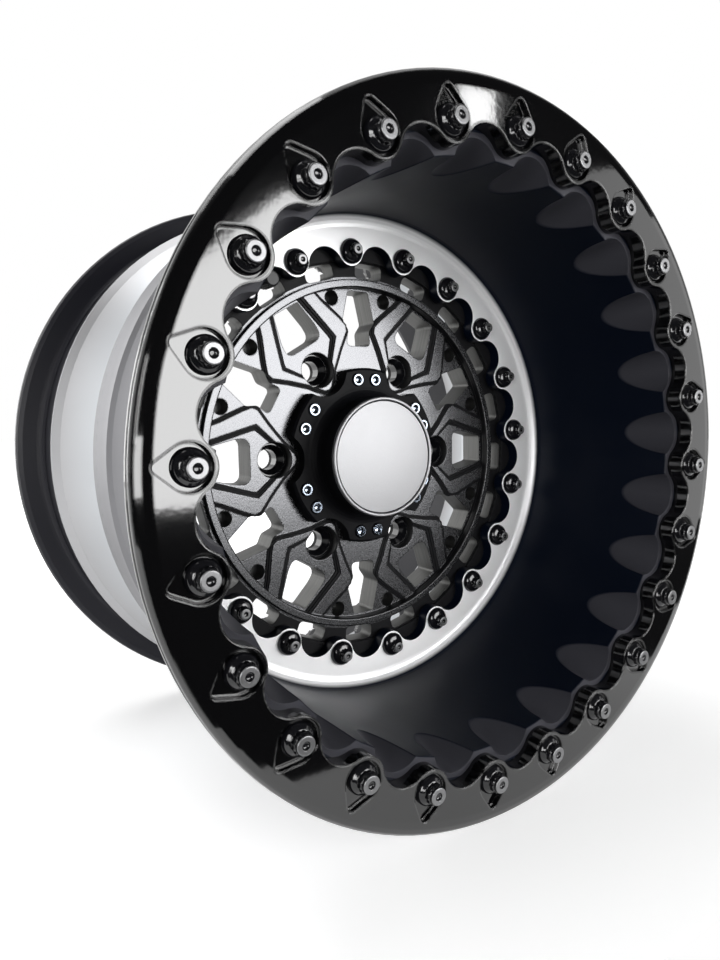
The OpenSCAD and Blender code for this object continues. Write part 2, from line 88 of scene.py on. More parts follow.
# A mask's usual softness, and how far it keeps clear of a flat face
SOFT = 0.0002
HAIR = 0.0003
THIN = 0.0001

# Coats of the outer barrel: radii, and heights above its flange's face
UNDER_CENTRE_R = 0.1540
BARE_WALL_R, BARE_WALL_TOP = 0.1650, 0.0081
DISH_R, DISH_FOOT = 0.1696, 0.0066
FLUTE_IN_R, FLUTE_OUT_R, FLUTE_FOOT = 0.1656, 0.1780, 0.0700
MOUTH_R, MOUTH_FOOT = 0.1868, 0.0816
LAND_FOOT = 0.1207
# Coats and painted shade of the inner barrel: depths below its flange's back
JOINT_SHADE_DEPTH, WELL_SIDE, SEAT_COAT = 0.0095, 0.0660, 0.0895

# Coats of the centre: radii, and depths below the spokes' face
BORE_R = 0.01245
STEP_R = 0.1192
LIP_R, LIP_DEPTH = 0.1245, 0.0008
COLLAR_IN_R, COLLAR_OUT_R, COLLAR_DEPTH = 0.1232, 0.1260, 0.0005
LEDGE_R = 0.1258
RIM_WALL_R, RIM_WALL_DEPTH = 0.1362, 0.0124
FACE_DEPTH = 0.0120
# Groove inside the rim of the cap's lid, coloured near black as painted shade
GROOVE_IN_R, GROOVE_OUT_R = 0.0386, 0.0393

# Bolt head from its seat up. Flange: inset from its radius, height
BOLT_FLANGE = ((0.0003, 0.0), (0.0, 0.0003), (0.0, 0.0012), (0.0002, 0.0019),
               (0.0006, 0.0027), (0.0012, 0.0034), (0.0020, 0.0039))
# Points: inset from their radius, height, share of the twelve-point outline
BOLT_POINTS = ((-0.0003, 0.0044, 0), (0.0, 0.0046, 0.9), (0.0, 0.0049, 1), (0.0, 0.0070, 1),
               (0.0002, 0.0073, 0.95), (0.0006, 0.0076, 0.7))
# Nose: inset from its radius, depth below the top, share of the twelve-point outline
BOLT_NOSE = ((-0.0004, 0.0021, 0.2), (0.0, 0.0018, 0), (0.0, 0.0006, 0),
             (0.0002, 0.0002, 0), (0.0006, 0.0, 0), (0.0008, 0.0, 0))
# Dimple: share of the nose's radius, depth below the top
BOLT_DIMPLE = ((0.50, 0.0), (0.47, 0.0), (0.44, 0.0002), (0.42, 0.0008),
               (0.34, 0.0013), (0.18, 0.0015), (0.0, 0.0015))
# Tip: inset from the shank's radius, height above the bolt's end
BOLT_TIP = ((0.0009, 0.0), (0.0002, 0.0007))
BOLT_SHANK_R = 0.0049
THREAD_START, THREAD_DEPTH = 0.0009, 0.0005
POINT_WALL = 0.0009
WORN_DEPTH = 0.0003
# How far a ring bolt reaches down, and a joint bolt beyond the flange's back
RING_BOLT_REACH, JOINT_BOLT_REACH = 0.030, 0.009
# Lengths of thread that show at the bolts' ends
RING_THREAD, JOINT_THREAD = 0.001, 0.004

# Nut from its seat: flange, points and bore's chamfer, each as inset, height, share
NUT_BORE_R, NUT_POINT_R = 0.0051, 0.0074
NUT_FLANGE = ((0.0002, 0.0, 0), (0.0, 0.0002, 0), (0.0, 0.0011, 0), (0.0003, 0.0014, 0),
              (0.0009, 0.0021, 0.1))
NUT_POINTS = ((0.0, 0.0027, 1), (0.0, 0.0068, 1), (0.0004, 0.0074, 0.9), (0.0010, 0.0076, 0.6))
NUT_CHAMFER = ((-0.0006, 0.0076, 0), (0.0, 0.0070, 0), (0.0, 0.0, 0))

# Cap screw. Shank: radius, height. Head: inset, depth. Socket: inset, depth, share of hexagon
SCREW_HEAD_R, SCREW_TALL, SCREW_SOCKET_R = 0.0044, 0.0048, 0.0023
SCREW_SHANK = ((0.0, -0.016), (0.0020, -0.016), (0.0024, -0.0155), (0.0024, -0.0001))
SCREW_HEAD = ((0.0001, 0.0048), (0.0, 0.0046), (0.0, 0.0009), (0.00015, 0.0004), (0.0006, 0.0))
SCREW_SOCKET = ((-0.0006, 0.0, 0), (-0.0003, 0.0003, 0.6), (0.0, 0.0004, 1), (0.0, 0.0026, 1),
                (0.0006, 0.0029, 0.5))
SCREW_FLOOR = 0.0032
SCREW_HALF_PAIR = math.radians(7.75)

BOLT_SIDES, SCREW_SIDES = 48, 36

# Soft lamps that look at the wheel: name, place, width, height, times the Side radiance
LAMPS = (
    ("Right Light", (2.4, -1.5, 0.25), 1.7, 1.5, 1.0),
    ("Left Light", (-2.4, 0.9, 0.8), 1.6, 1.8, 1.0),
    ("Top Light", (-0.6, 0.5, 2.4), 1.8, 1.6, 3.0),
    ("Left Front Light", (-1.7, -1.7, 0.5), 0.7, 0.7, 8.0),
    ("Low Left Light", (-1.1, -1.5, -0.05), 1.2, 0.3, 6.0),
    ("Rear Light", (-1.0, 1.85, 0.55), 0.9, 1.5, 2.0),
)
LAMP_WALL = -RING_FACE - 1.41
FLOOR_SIDE, FLOOR_BACK = 6.0, 8.0
# The floor glows fully beyond the far distance; reflections turn white towards the back
GLOW_NEAR, GLOW_FAR = 0.35, 1.1
WHITE_FROM, WHITE_TO = -0.15, 0.25

# Camera solved from the two bolt circles; its place is given with the ring's face at y = 0
VIEW_RIGHT = (0.83353, -0.55217, -0.01837)
VIEW_UP = (0.06810, 0.06970, 0.99524)
VIEW_FROM = (-0.27727, -0.27264, 0.03016)


def colour(name, description, value):
    return bpy.props.FloatVectorProperty(
        name=name, description=description, subtype="COLOR", size=3,
        min=0.0, max=1.0, default=value)


def number(name, description, value, **limits):
    return bpy.props.FloatProperty(name=name, description=description, default=value, **limits)


def length(name, description, value, **limits):
    return number(name, description, value, subtype="DISTANCE", unit="LENGTH", precision=5,
                  **limits)


class RingLook(bpy.types.PropertyGroup):
    paint: colour("Gloss Black", "Lacquered black of the beadlock ring", (0.001, 0.001, 0.0013))
    edge_radius: length("Edge Radius", "Rounding that catches the light on each edge", 0.0018,
                        min=0.0)
    roughness: number("Lacquer Roughness", "Roughness of the polished lacquer", 0.06,
                      min=0.0, max=1.0, subtype="FACTOR")
    index: number("Lacquer Index", "Index of refraction of the lacquer", 1.8, min=1.0)


class BarrelLook(bpy.types.PropertyGroup):
    paint: colour("Satin Black", "Satin black inside the dish", (0.0022, 0.0046, 0.0120))
    turned: colour("Turned Face", "Bare turned face of the inner flange", (0.96, 0.96, 0.97))
    outside: colour("Outside", "Bare metal under the tyre", (0.52, 0.54, 0.56))
    # Painted shade: Shoulders and Joint are darker greys of the bare metal that stand in for shade
    # on the barrels' outsides, darkest at the joint
    shoulder_shade: colour("Shoulders", "Duller metal next to the bead seats", (0.44, 0.44, 0.45))
    joint: colour("Joint", "Dark coat round the joint of the halves", (0.20, 0.20, 0.21))
    # Painted sheen: the flutes' satin black is lighter than the dish's black, standing in for the
    # light that the flutes catch
    flute_sheen: colour("Flutes", "Satin black of the cut flutes at the mouth", (0.042, 0.042, 0.050))
    # Painted sheen: this satin black is made lighter than the dish's black, standing in for the
    # sheen on the inboard bead seat
    rear_black_and_sheen: colour("Rear Black", "Satin black of the inboard bead seat",
                       (0.010, 0.010, 0.015))
    flange_radius: length("Turned Out To", "Radius at which the bare flange face ends", 0.1636,
                          min=0.0)


class CentreLook(bpy.types.PropertyGroup):
    face: colour("Spoke Face", "Tinted, blasted face of the spokes", (0.120, 0.121, 0.126))
    wall: colour("Window Wall", "Bare milled wall of a window", (0.13, 0.13, 0.126))
    step: colour("Step", "Black paint in the steps round the crests", (0.006, 0.006, 0.007))
    grain: length("Grain", "Size of the blasted grain", 0.0011, min=0.0)


class CapLook(bpy.types.PropertyGroup):
    lid: colour("Lid", "Fine blasted silver of the lid", (0.40, 0.40, 0.41))
    body: colour("Body", "Gloss black of the cap body", (0.005, 0.005, 0.006))


class FastenerLook(bpy.types.PropertyGroup):
    black: colour("Black Steel", "Black-coated bolts and nuts", (0.004, 0.004, 0.005))
    worn: colour("Worn Nose", "Bright nose of a bolt head", (0.24, 0.24, 0.245))
    bright: colour("Bright Steel", "Plated cap screws", (0.30, 0.34, 0.40))
    bolt_flange: length("Bolt Flange Diameter", "Diameter of a bolt's round flange", 0.017,
                        min=0.0)
    head_height: length("Head Height", "Height of a bolt head above its seat", 0.0096, min=0.0)
    thread_pitch: length("Thread Pitch", "Pitch of the threads that show", 0.0015, min=0.0005)
    ring_count: bpy.props.IntProperty(
        name="Ring Bolts", description="Bolts that hold the beadlock ring", default=24, min=3)
    joint_count: bpy.props.IntProperty(
        name="Joint Bolts", description="Bolts that hold the two halves and the centre",
        default=20, min=3)


class StageLook(bpy.types.PropertyGroup):
    floor: colour("Floor", "Pale floor", (0.86, 0.86, 0.86))
    floor_front: length("Floor Front", "Where the floor ends in front of the wheel", -0.28)
    floor_glow: number("Floor Glow", "White that the floor shows besides its own light", 0.5,
                       min=0.0, max=1.0)
    key: number("Key", "Radiance of the window light in front", 8.5, min=0.0)
    side: number("Side", "Radiance of the large soft lamps", 1.2, min=0.0)
    fill: number("Fill", "Strength of the studio in front", 0.03, min=0.0)
    lens: number("Lens", "Focal length for a 36 mm long side", 25.87, min=1.0, unit="CAMERA")


class Graph:
    """Fills a node tree, a node at a time."""

    def __init__(self, tree, clear=True):
        self.nodes, self.links = tree.nodes, tree.links
        if clear:
            self.nodes.clear()

    def feed(self, socket, value):
        """Links the value into the socket, or sets it there when it is a constant."""
        if isinstance(value, bpy.types.NodeSocket):
            self.links.new(value, socket)
        elif socket.type == "RGBA" and len(value) == 3:
            socket.default_value = (*value, 1.0)
        else:
            socket.default_value = value

    def add(self, kind, *values, **settings):
        """Makes a node with these settings and feeds its first inputs."""
        node = self.nodes.new(kind)
        for key, value in settings.items():
            setattr(node, key, value)
        for socket, value in zip(node.inputs, values):
            self.feed(socket, value)
        return node

    def math(self, operation, *values):
        return self.add("ShaderNodeMath", *values, operation=operation).outputs[0]

    def ramp(self, value, low, high, start=0.0, end=1.0, kind="LINEAR"):
        """Goes from start to end while value goes from low to high."""
        node = self.add("ShaderNodeMapRange", interpolation_type=kind)
        for name, given in (("Value", value), ("From Min", low), ("From Max", high),
                            ("To Min", start), ("To Max", end)):
            self.feed(node.inputs[name], given)
        return node.outputs["Result"]

    def mix(self, mask, low, high, kind):
        node = self.add("ShaderNodeMix", data_type=kind)
        for name, given in (("Factor", mask), ("A", low), ("B", high)):
            self.feed(node.inputs[name], given)
        return node.outputs["Result"]

    def colour(self, mask, low, high):
        return self.mix(mask, low, high, "RGBA")

    def value(self, mask, low, high):
        return self.mix(mask, low, high, "FLOAT")


class Finish(Graph):
    """Builds one material; every pattern reads Object coordinates."""

    def __init__(self, name, **sockets):
        self.mat = bpy.data.materials.new(name)
        self.mat.use_nodes = True
        super().__init__(self.mat.node_tree)
        self.shader = self.add("ShaderNodeBsdfPrincipled")
        self.add("ShaderNodeOutputMaterial", self.shader.outputs[0])
        self.place = self.add("ShaderNodeTexCoord").outputs["Object"]
        self.x, self.y, self.z = self.add("ShaderNodeSeparateXYZ", self.place).outputs
        self.height = self.math("MULTIPLY", self.y, -1.0)
        self.set(**sockets)

    def set(self, **sockets):
        for key, value in sockets.items():
            self.feed(self.shader.inputs[key.replace("_", " ")], value)

    def distance(self, x0, z0):
        dx, dz = self.math("SUBTRACT", self.x, x0), self.math("SUBTRACT", self.z, z0)
        return self.math("SQRT", self.math("MULTIPLY_ADD", dx, dx, self.math("MULTIPLY", dz, dz)))

    def radius(self):
        return self.distance(0.0, 0.0)

    def above(self, value, level, soft=SOFT):
        """0 below level and 1 above it, over a soft edge."""
        return self.ramp(value, level - soft, level + soft)

    def below(self, value, level, soft=SOFT):
        return self.math("SUBTRACT", 1.0, self.above(value, level, soft))

    def both(self, *masks):
        result = masks[0]
        for mask in masks[1:]:
            result = self.math("MULTIPLY", result, mask)
        return result

    def either(self, *masks):
        result = masks[0]
        for mask in masks[1:]:
            result = self.math("MAXIMUM", result, mask)
        return result

    def noise(self, size, detail=2.0, roughness=0.5, stretch=None):
        source = self.place
        if stretch:
            mapping = self.add("ShaderNodeMapping", source)
            mapping.inputs["Scale"].default_value = stretch
            source = mapping.outputs[0]
        node = self.add("ShaderNodeTexNoise")
        for name, given in (("Vector", source), ("Scale", 1.0 / size), ("Detail", detail),
                            ("Roughness", roughness)):
            self.feed(node.inputs[name], given)
        return node.outputs["Fac"]

    def turned(self, pitch, wander=4.0):
        """Fine circular tool marks round the axle."""
        phase = self.math("MULTIPLY_ADD", self.radius(), 2 * math.pi / pitch,
                          self.math("MULTIPLY", self.noise(0.03), wander))
        return self.math("SINE", phase)

    def milled(self, pitch):
        """Straight tool marks, each at one height."""
        return self.math("SINE", self.math("MULTIPLY", self.height, 2 * math.pi / pitch))

    def rounded(self, size):
        node = self.add("ShaderNodeBevel", size)
        node.samples = 4
        return node.outputs["Normal"]

    def flat_normal(self):
        return self.add("ShaderNodeNewGeometry").outputs["Normal"]

    def edge(self, rounded):
        """1 on a sharp edge, where the rounded normal leaves the flat one."""
        dot = self.add("ShaderNodeVectorMath", rounded, self.flat_normal(),
                       operation="DOT_PRODUCT")
        return self.below(dot.outputs["Value"], 0.82, 0.04)

    def flat(self):
        """1 on a face that looks outboard."""
        split = self.add("ShaderNodeSeparateXYZ", self.flat_normal())
        return self.above(self.math("MULTIPLY", split.outputs["Y"], -1.0), 0.9, 0.04)

    def bump(self, height, strength, distance, normal=None):
        node = self.add("ShaderNodeBump")
        for name, given in (("Height", height), ("Strength", strength), ("Distance", distance)):
            self.feed(node.inputs[name], given)
        if normal is not None:
            self.feed(node.inputs["Normal"], normal)
        return node.outputs["Normal"]

    def outwards(self):
        """Tangent that runs away from the axle, across the marks of turned metal."""
        level = self.add("ShaderNodeCombineXYZ", self.x, 0.0, self.z).outputs[0]
        return self.add("ShaderNodeVectorMath", level, operation="NORMALIZE").outputs[0]


def wear(node, material):
    """Gives a CAD node its finish."""
    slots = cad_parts[node].data.materials
    slots.clear()
    slots.append(material)


def link(name, data):
    """Puts new data into the scene as an object."""
    thing = bpy.data.objects.new(name, data)
    bpy.context.scene.collection.objects.link(thing)
    return thing


def loft(rings, count, shape):
    """Skins rings (radius, height, share) round the local outboard axis.

    shape(angle, share) scales the radius; a ring of radius 0 closes with a pole.
    """
    bm = bmesh.new()
    last, made = None, []
    for radius, height, share in rings:
        if radius == 0:
            ring = [bm.verts.new((0, -height, 0))]
        else:
            ring = []
            for i in range(count):
                a = 2 * math.pi * i / count
                r = radius * shape(a, share)
                ring.append(bm.verts.new((r * math.cos(a), -height, r * math.sin(a))))
        if last is not None:
            for i in range(count):
                j = (i + 1) % count
                corners = [last[i % len(last)], last[j % len(last)],
                           ring[j % len(ring)], ring[i % len(ring)]]
                corners = list(dict.fromkeys(corners))
                if len(corners) > 2:
                    made.append(bm.faces.new(corners))
        last = ring
    for face in made:
        face.smooth = True
    bmesh.ops.recalc_face_normals(bm, faces=made)
    return bm


def from_corner(angle, step):
    """Angle from the nearest multiple of step."""
    return (angle + step / 2) % step - step / 2


def twelve_points(angle, share):
    """Outline of two hexagons laid over each other, blended from a circle by share."""
    step = math.radians(30)
    point = math.cos(step) / math.cos(step - abs(from_corner(angle, step)))
    return 1 - share + share * point


def hexagon(angle, share):
    """Outline of a hexagon round a circle, blended from that circle by share."""
    return 1 - share + share / math.cos(from_corner(angle, math.radians(60)))


def mark_sharp(mesh, degrees):
    """Keeps crisp edges where faces meet at more than the given angle."""
    bm = bmesh.new()
    bm.from_mesh(mesh)
    for edge in bm.edges:
        if len(edge.link_faces) == 2:
            edge.smooth = edge.calc_face_angle(0.0) < math.radians(degrees)
    bm.to_mesh(mesh)
    bm.free()


def bolt_mesh(look, reach, thread, nose):
    """Twelve-point flange bolt with its seat at the origin and its head outboard."""
    flange, top, shank = look.bolt_flange / 2, look.head_height, BOLT_SHANK_R
    point = nose + POINT_WALL
    rings = [(0.0, -reach, 0)] + [(shank - inset, -reach + up, 0) for inset, up in BOLT_TIP]
    height, crest = -reach + THREAD_START, True
    while height < -reach + thread:
        rings.append((shank if crest else shank - THREAD_DEPTH, height, 0))
        height += look.thread_pitch / 2
        crest = not crest
    rings += [(shank, -reach + thread, 0), (shank, -THIN, 0)]
    rings += [(flange - inset, up, 0) for inset, up in BOLT_FLANGE]
    rings += [(point - inset, up, share) for inset, up, share in BOLT_POINTS]
    rings += [(nose - inset, top - down, share) for inset, down, share in BOLT_NOSE]
    rings += [(nose * part, top - down, 0) for part, down in BOLT_DIMPLE]
    return loft(rings, BOLT_SIDES, twelve_points)


def nut_mesh(look):
    """Twelve-point flange nut with its seat at the origin, facing inboard."""
    rings = [(NUT_BORE_R, 0.0, 0)]
    for radius, rows in ((look.bolt_flange / 2, NUT_FLANGE), (NUT_POINT_R, NUT_POINTS),
                         (NUT_BORE_R, NUT_CHAMFER)):
        rings += [(radius - inset, up, share) for inset, up, share in rows]
    bm = loft(rings, BOLT_SIDES, twelve_points)
    bmesh.ops.remove_doubles(bm, verts=bm.verts, dist=1e-7)
    bmesh.ops.rotate(bm, verts=bm.verts, cent=(0, 0, 0), matrix=Matrix.Rotation(math.pi, 3, "X"))
    bmesh.ops.recalc_face_normals(bm, faces=bm.faces)
    return bm


def screw_mesh():
    """Socket cap screw with its seat at the origin and its head outboard."""
    rings = [(radius, up, 0) for radius, up in SCREW_SHANK]
    rings += [(SCREW_HEAD_R - inset, SCREW_TALL - down, 0) for inset, down in SCREW_HEAD]
    rings += [(SCREW_SOCKET_R - inset, SCREW_TALL - down, share)
              for inset, down, share in SCREW_SOCKET]
    rings.append((0.0, SCREW_TALL - SCREW_FLOOR, 0))
    return loft(rings, SCREW_SIDES, hexagon)


def screw_pair():
    """The two cap screws of one lobe, either side of the local X axis."""
    pair = bmesh.new()
    for angle in (SCREW_HALF_PAIR, -SCREW_HALF_PAIR):
        one = screw_mesh()
        bmesh.ops.translate(one, verts=one.verts, vec=(SCREW_AT, 0, 0))
        bmesh.ops.rotate(one, verts=one.verts, cent=(0, 0, 0),
                         matrix=Matrix.Rotation(angle, 3, "Y"))
        mesh = bpy.data.meshes.new("screw_half")
        one.to_mesh(mesh)
        one.free()
        pair.from_mesh(mesh)
        bpy.data.meshes.remove(mesh)
    return pair


def circle_tree():
    """Geometry Nodes: copies of a fastener round the axle, realized, with one finish."""
    tree = bpy.data.node_groups.new("Fastener Circle", "GeometryNodeTree")
    tree.is_modifier = True
    face = tree.interface
    face.new_socket("Geometry", in_out="INPUT", socket_type="NodeSocketGeometry")
    count = face.new_socket("Count", in_out="INPUT", socket_type="NodeSocketInt")
    count.default_value = 12
    for name, kind in (("Circle Radius", "DISTANCE"), ("Seat Height", "DISTANCE"),
                       ("First Angle", "ANGLE"), ("Turn of Each", "ANGLE")):
        socket = face.new_socket(name, in_out="INPUT", socket_type="NodeSocketFloat")
        socket.subtype = kind
    face.new_socket("Finish", in_out="INPUT", socket_type="NodeSocketMaterial")
    face.new_socket("Geometry", in_out="OUTPUT", socket_type="NodeSocketGeometry")

    g = Graph(tree)
    given = g.add("NodeGroupInput").outputs
    index = g.add("GeometryNodeInputIndex").outputs[0]
    share = g.math("DIVIDE", index, given["Count"])
    angle = g.math("ADD", g.math("MULTIPLY", share, 2 * math.pi), given["First Angle"])
    place = g.add("ShaderNodeCombineXYZ",
                  g.math("MULTIPLY", g.math("COSINE", angle), given["Circle Radius"]),
                  g.math("MULTIPLY", given["Seat Height"], -1.0),
                  g.math("MULTIPLY", g.math("SINE", angle), given["Circle Radius"]))
    own = g.math("MULTIPLY", index, given["Turn of Each"])
    spin = g.add("ShaderNodeCombineXYZ", 0.0,
                 g.math("MULTIPLY", g.math("ADD", angle, own), -1.0), 0.0)
    points, copies = g.add("GeometryNodePoints"), g.add("GeometryNodeInstanceOnPoints")
    real, finish = g.add("GeometryNodeRealizeInstances"), g.add("GeometryNodeSetMaterial")
    for node, name, value in (
            (points, "Count", given["Count"]),
            (points, "Position", place.outputs[0]),
            (copies, "Points", points.outputs[0]),
            (copies, "Instance", given["Geometry"]),
            (copies, "Rotation", g.add("FunctionNodeEulerToRotation", spin.outputs[0]).outputs[0]),
            (real, "Geometry", copies.outputs[0]),
            (finish, "Geometry", real.outputs[0]),
            (finish, "Material", given["Finish"])):
        g.feed(node.inputs[name], value)
    g.add("NodeGroupOutput", finish.outputs[0])
    return tree


def round_the_wheel(name, bm, material, slot, stands_for, degrees, **sizes):
    """Runs the circle tree on one fastener and settles the result as a plain mesh."""
    tree = bpy.data.node_groups.get("Fastener Circle") or circle_tree()
    mesh = bpy.data.meshes.new(name + "_one")
    bm.to_mesh(mesh)
    bm.free()
    mark_sharp(mesh, degrees)
    source = link(name + "_one", mesh)
    modifier = source.modifiers.new("Circle", "NODES")
    modifier.node_group = tree
    ids = {item.name: item.identifier for item in tree.interface.items_tree
           if item.in_out == "INPUT"}
    for key, value in sizes.items():
        modifier[ids[key.replace("_", " ")]] = value
    modifier[ids["Finish"]] = material
    bpy.context.view_layer.update()
    graph = bpy.context.evaluated_depsgraph_get()
    made = bpy.data.meshes.new_from_object(source.evaluated_get(graph))
    bpy.data.objects.remove(source)
    made.name = name
    if material.name not in made.materials:
        made.materials.clear()
        made.materials.append(material)
    piece = link(name, made)
    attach(piece, "root")
    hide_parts(stands_for)
    return piece


def gloss_black(name, paint, roughness, edge_radius, index):
    """Deep black gloss with faint orange peel and softly rounded edges."""
    f = Finish(name, Base_Color=paint, IOR=index)
    f.set(Roughness=f.value(f.noise(0.05, 3.0), roughness * 0.7, roughness * 1.3))
    f.set(Normal=f.bump(f.noise(0.0035, 1.0), 0.05, 0.0002, f.rounded(edge_radius)))
    return f.mat


def black_steel(name, tint, worn=None, worn_from=0.0):
    """Black-coated steel, slightly uneven, worn bright above a given outboard height."""
    f = Finish(name, IOR=1.6)
    coat = f.colour(f.noise(0.004, 3.0), tint, [c * 1.8 for c in tint])
    rough = f.value(f.noise(0.0012), 0.08, 0.16)
    if worn:
        bare = f.above(f.height, worn_from, THIN)
        coat = f.colour(bare, coat, worn)
        rough = f.value(bare, rough, f.value(f.noise(0.002), 0.32, 0.42))
        f.set(Metallic=bare)
    f.set(Base_Color=coat, Roughness=rough)
    f.set(Normal=f.bump(f.noise(0.0006), 0.03, 0.0001, f.rounded(0.0003)))
    return f.mat


def barrel_surface(f, black, bright, bare, paint, satin):
    """Turned metal, with a satin coat where black is 1 and a cleaner cut where bright is."""
    blotch = f.noise(0.06, 3.0)
    metal = f.value(bright, f.value(blotch, 0.44, 0.54), f.value(blotch, 0.34, 0.42))
    f.set(Base_Color=f.colour(black, bare, paint),
          Metallic=f.value(black, f.value(bright, 1.0, 0.35), 0.0),
          Roughness=f.value(black, metal, f.value(blotch, *satin)),
          Anisotropic=0.35, Tangent=f.outwards())
    fine = f.bump(f.turned(0.0009), f.value(black, 0.05, 0.0), 0.0001, f.rounded(0.0006))
    f.set(Normal=f.bump(f.noise(0.0008), f.value(black, 0.03, 0.10), 0.0001, fine))
    return f.mat


def outer_barrel_finish(name, look):
    """Black dish and mouth, bare turned flange, and bare metal outside with painted shade, darkest
    towards the joint.
    """
    f = Finish(name, IOR=1.5, Specular_IOR_Level=0.12)
    r, h = f.radius(), f.height
    dish = f.both(f.above(h, FLANGE_FACE + HAIR), f.below(r, DISH_R), f.either(
        f.above(h, FLANGE_FACE + DISH_FOOT, 0.0008), f.above(r, look.flange_radius, 0.0008)))
    mouth = f.both(f.above(h, FLANGE_FACE + MOUTH_FOOT), f.below(r, MOUTH_R, 0.0006))
    under = f.both(f.below(h, FLANGE_FACE - 2 * THIN), f.below(r, UNDER_CENTRE_R))
    black = f.either(dish, mouth, f.above(h, FLANGE_FACE + LAND_FOOT), under)
    # Painted sheen: a lighter black in the flutes at the mouth
    flute_sheen = f.both(f.above(r, FLUTE_IN_R, 0.0004), f.below(r, FLUTE_OUT_R),
                   f.above(h, FLANGE_FACE + FLUTE_FOOT))
    bright = f.both(f.above(h, FLANGE_FACE - HAIR), f.below(r, BARE_WALL_R),
                    f.below(h, FLANGE_FACE + BARE_WALL_TOP))
    # Painted shade: the outside darkens from the ring's side towards the joint
    shoulder_shade = f.above(h, 0.5 * (INNER_BACK + RING_FACE), 0.06)
    bare = f.colour(bright, f.colour(shoulder_shade, look.joint, look.shoulder_shade), look.turned)
    return barrel_surface(f, black, bright, bare, f.colour(flute_sheen, look.paint, look.flute_sheen),
                          (0.34, 0.42))


def inner_barrel_finish(name, look):
    """Bare well with painted shade at the joint and towards the black inboard bead seat."""
    f = Finish(name, IOR=1.5, Specular_IOR_Level=0.3)
    r, h = f.radius(), f.height
    under = f.both(f.above(h, INNER_BACK - 5 * THIN), f.below(r, UNDER_CENTRE_R))
    black = f.either(f.below(h, INNER_BACK - SEAT_COAT, 0.0004), under)
    # Painted shade: darker towards the inboard bead seat, and darkest at the joint
    well = f.colour(f.above(h, INNER_BACK - WELL_SIDE, 0.016), look.shoulder_shade, look.outside)
    bare = f.colour(f.above(h, INNER_BACK - JOINT_SHADE_DEPTH, 0.0005), well, look.joint)
    # The bead seat's black carries a painted sheen
    return barrel_surface(f, black, 0.0, bare, look.rear_black_and_sheen, (0.42, 0.50))


def centre_finish(name, look):
    """Blasted, tinted faces, black steps and bare milled windows."""
    f = Finish(name, IOR=1.5, Specular_IOR_Level=0.12)
    r, h, flat = f.radius(), f.height, f.flat()
    wall = f.math("SUBTRACT", 1.0, flat)
    face = f.both(flat, f.above(h, SPOKE_FACE - FACE_DEPTH))
    steps = [f.both(f.above(h, foot + THIN, THIN / 2), f.below(h, top - THIN, THIN / 2),
                    f.below(r, STEP_R))
             for foot, top in ((SPOKE_FACE, CREST_TOP), (CREST_TOP, BELT_TOP))]
    bores = [f.below(f.distance(LUG_AT * math.cos(a), LUG_AT * math.sin(a)), BORE_R)
             for a in (math.radians(60 * i) for i in range(6))]
    lug = f.both(f.either(*bores), f.below(h, SPOKE_FACE - THIN))
    rim = f.either(f.both(f.above(r, RIM_WALL_R), f.above(h, SPOKE_FACE - RIM_WALL_DEPTH), wall),
                   f.both(f.above(r, LEDGE_R), flat))
    collar = f.both(f.above(r, COLLAR_IN_R, THIN), f.below(r, COLLAR_OUT_R), wall,
                    f.above(h, SPOKE_FACE - COLLAR_DEPTH))
    rounded = f.rounded(0.0010)
    lip = f.both(f.edge(rounded), f.above(h, SPOKE_FACE - LIP_DEPTH), f.below(r, LIP_R))
    black = f.either(*steps, lug, rim, collar, lip)
    grain = f.noise(look.grain, 3.0, 0.65)
    streak = f.noise(0.0010, 2.0, 0.6, (0.03, 1.0, 0.03))
    metal = f.colour(face,
                     f.colour(streak, [c * 0.6 for c in look.wall], [c * 1.4 for c in look.wall]),
                     f.colour(grain, [c * 0.9 for c in look.face], [c * 1.12 for c in look.face]))
    f.set(Base_Color=f.colour(black, metal, look.step),
          Metallic=f.math("SUBTRACT", 1.0, black),
          Roughness=f.value(black, f.value(face, 0.50, f.value(grain, 0.22, 0.32)), 0.5))
    marks = f.bump(f.milled(0.0011), f.value(f.either(face, black), 0.12, 0.0), 0.0001, rounded)
    f.set(Normal=f.bump(grain, f.value(face, 0.03, f.value(black, 0.13, 0.0)), 0.0004, marks))
    return f.mat


def lid_finish(name, look):
    """Fine blasted silver with painted shade in the groove inside the rim; the face is left bare.
    """
    f = Finish(name, Metallic=1.0)
    r = f.radius()
    # Painted shade: the groove is coloured near black below
    groove = f.both(f.above(r, GROOVE_IN_R, THIN), f.below(r, GROOVE_OUT_R, THIN))
    grain = f.noise(0.0009, 3.0, 0.7)
    silver = f.colour(grain, [c * 0.92 for c in look.lid], [min(1, c * 1.08) for c in look.lid])
    f.set(Base_Color=f.colour(groove, silver, (0.01, 0.01, 0.012)),
          Roughness=f.value(grain, 0.50, 0.60),
          Normal=f.bump(grain, 0.16, 0.0003, f.rounded(0.0004)))
    return f.mat


def mottled(name, tints, tint_size, roughness, rough_size, **sockets):
    """Material whose tint and roughness both wander a little."""
    f = Finish(name, **sockets)
    f.set(Base_Color=f.colour(f.noise(tint_size), *tints),
          Roughness=f.value(f.noise(rough_size), *roughness))
    return f.mat


def rubber(name):
    return mottled(name, ((0.010, 0.010, 0.010), (0.020, 0.020, 0.020)), 0.004,
                   (0.55, 0.75), 0.001, IOR=1.45)


def moulded_black(name):
    return mottled(name, ((0.012, 0.012, 0.013), (0.02, 0.02, 0.021)), 0.003,
                   (0.32, 0.48), 0.0006, IOR=1.46)


def plain_metal(name, tint, roughness):
    return mottled(name, (tint, [c * 0.85 for c in tint]), 0.003, roughness, 0.0015, Metallic=1.0)


def bright_steel(name, tint):
    f = Finish(name, Metallic=1.0, Base_Color=tint)
    f.set(Roughness=f.value(f.noise(0.002), 0.10, 0.22))
    return f.mat


